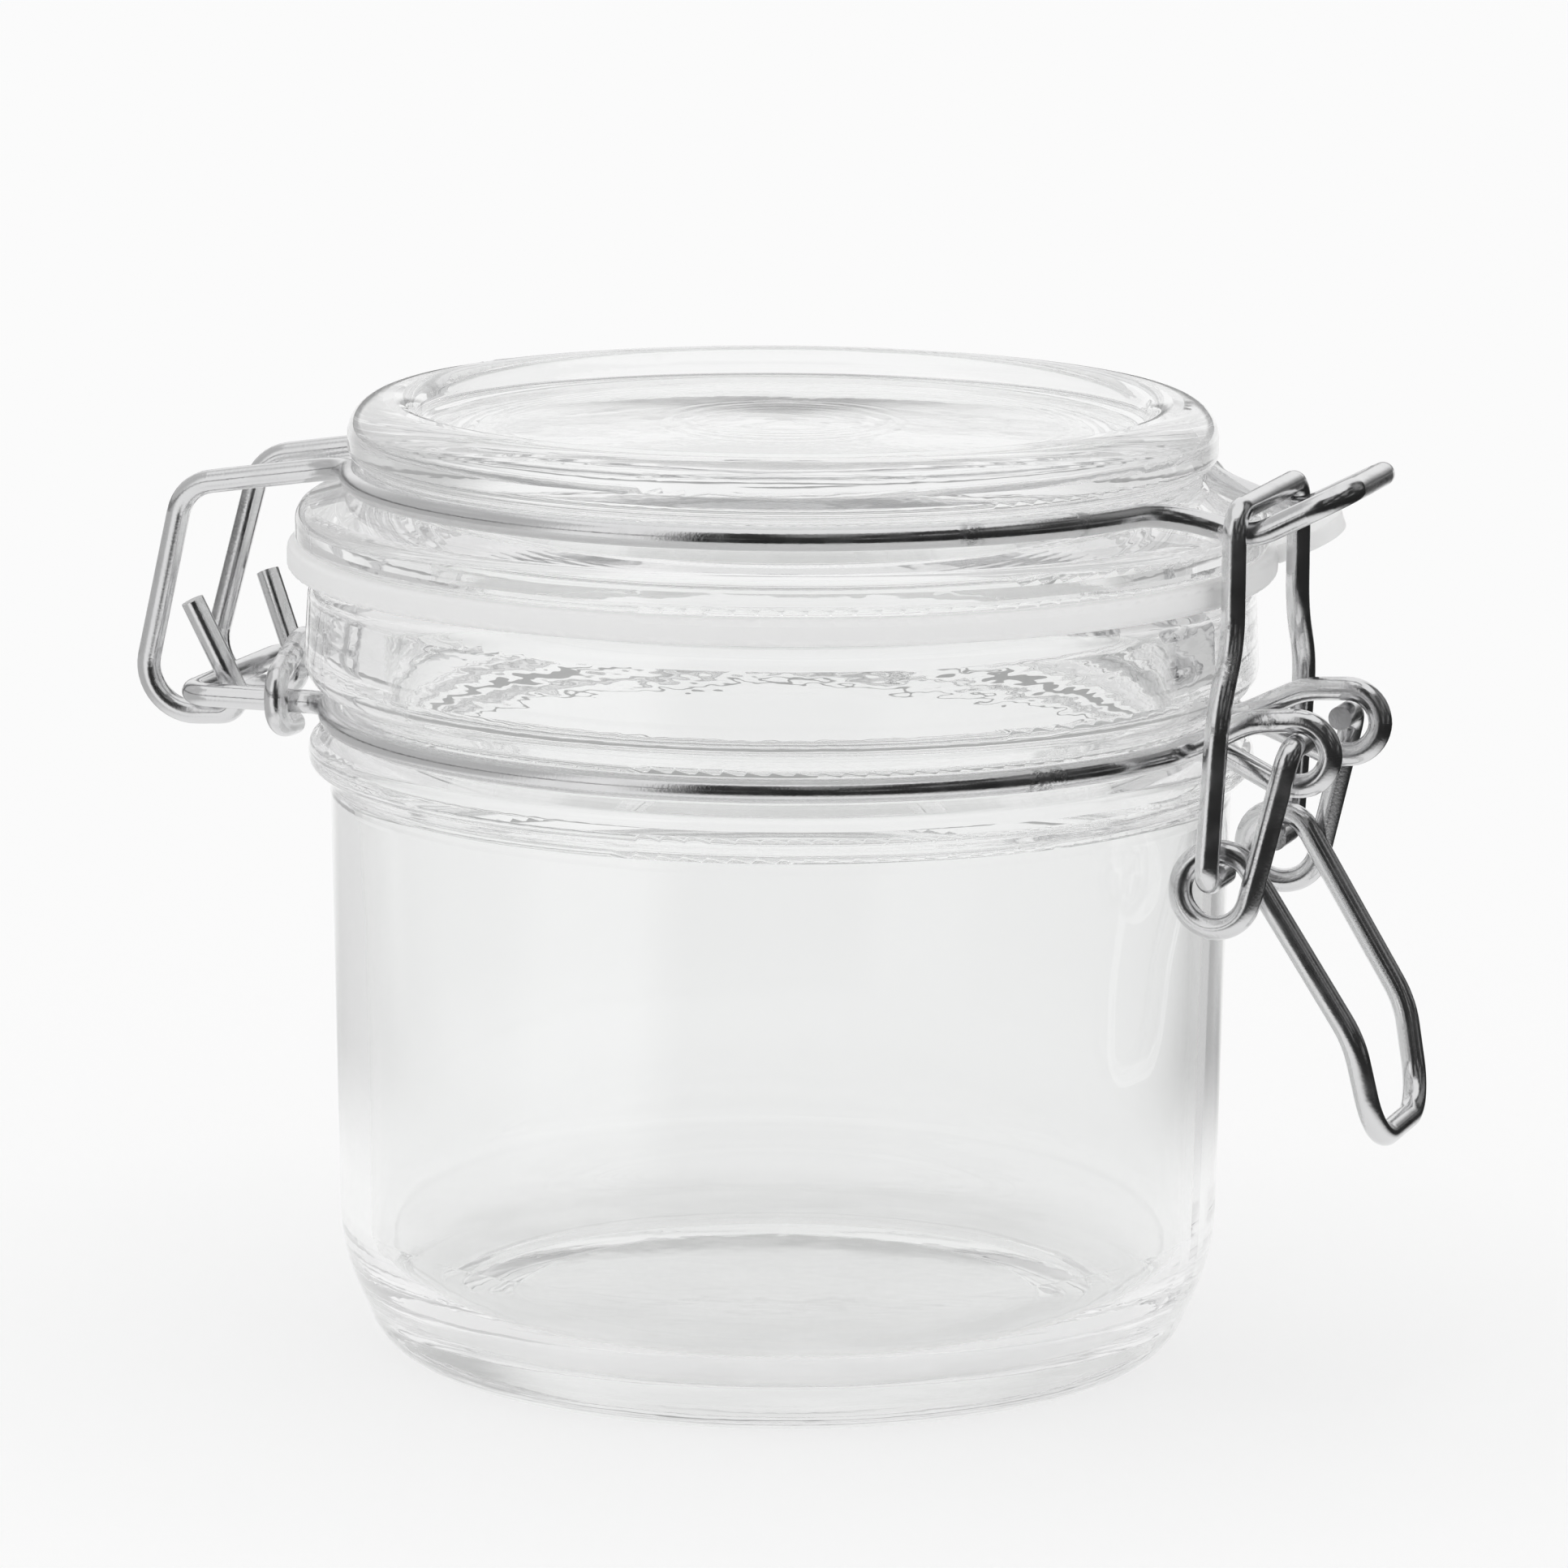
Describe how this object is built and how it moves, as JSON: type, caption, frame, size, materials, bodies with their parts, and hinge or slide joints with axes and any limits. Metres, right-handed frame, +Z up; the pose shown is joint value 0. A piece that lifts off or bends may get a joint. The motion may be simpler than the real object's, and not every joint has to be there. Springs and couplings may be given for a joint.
{
  "type": "glass storage jar",
  "caption": "Clear glass storage jar with a hinged glass lid, a rubber sealing ring with a pull tab, and a bent-wire swing-top latch.",
  "frame": {"origin": "middle of the ring the jar stands on, on the floor", "axes": "+Z up along the jar's axis, +X from the hinge towards the latch"},
  "size_m": [0.1332, 0.1002, 0.0974],
  "materials": {
    "clear_glass": "clear pressed glass",
    "seal": "pale translucent silicone rubber",
    "wire": "bright drawn wire"
  },
  "bodies": {
    "jar": {"jar_glass": "clear_glass", "neck_wire": "wire"},
    "lid": {"lid_glass": "clear_glass", "gasket": "seal", "lid_wire": "wire"},
    "lever": {"lever": "wire"},
    "link": {"link": "wire"}
  },
  "joints": [
    {"name": "lid_hinge", "type": "hinge", "parent": "jar", "child": "lid", "pos_m": [-0.0599, 0, 0.0656], "axis": [0, -1, 0], "range_deg": [0, 130]},
    {"name": "latch_lever", "type": "hinge", "parent": "jar", "child": "lever", "pos_m": [0.0568, 0, 0.06705], "axis": [0, -1, 0], "range_deg": [0, 120]},
    {"name": "latch_link", "type": "hinge", "parent": "lever", "child": "link", "pos_m": [0.0495, 0, 0.05375], "axis": [0, -1, 0], "range_deg": [-300, 0]}
  ],
  "couplings": [
    {"joint": "latch_link", "follows": "latch_lever", "ratio": -2.48}
  ]
}
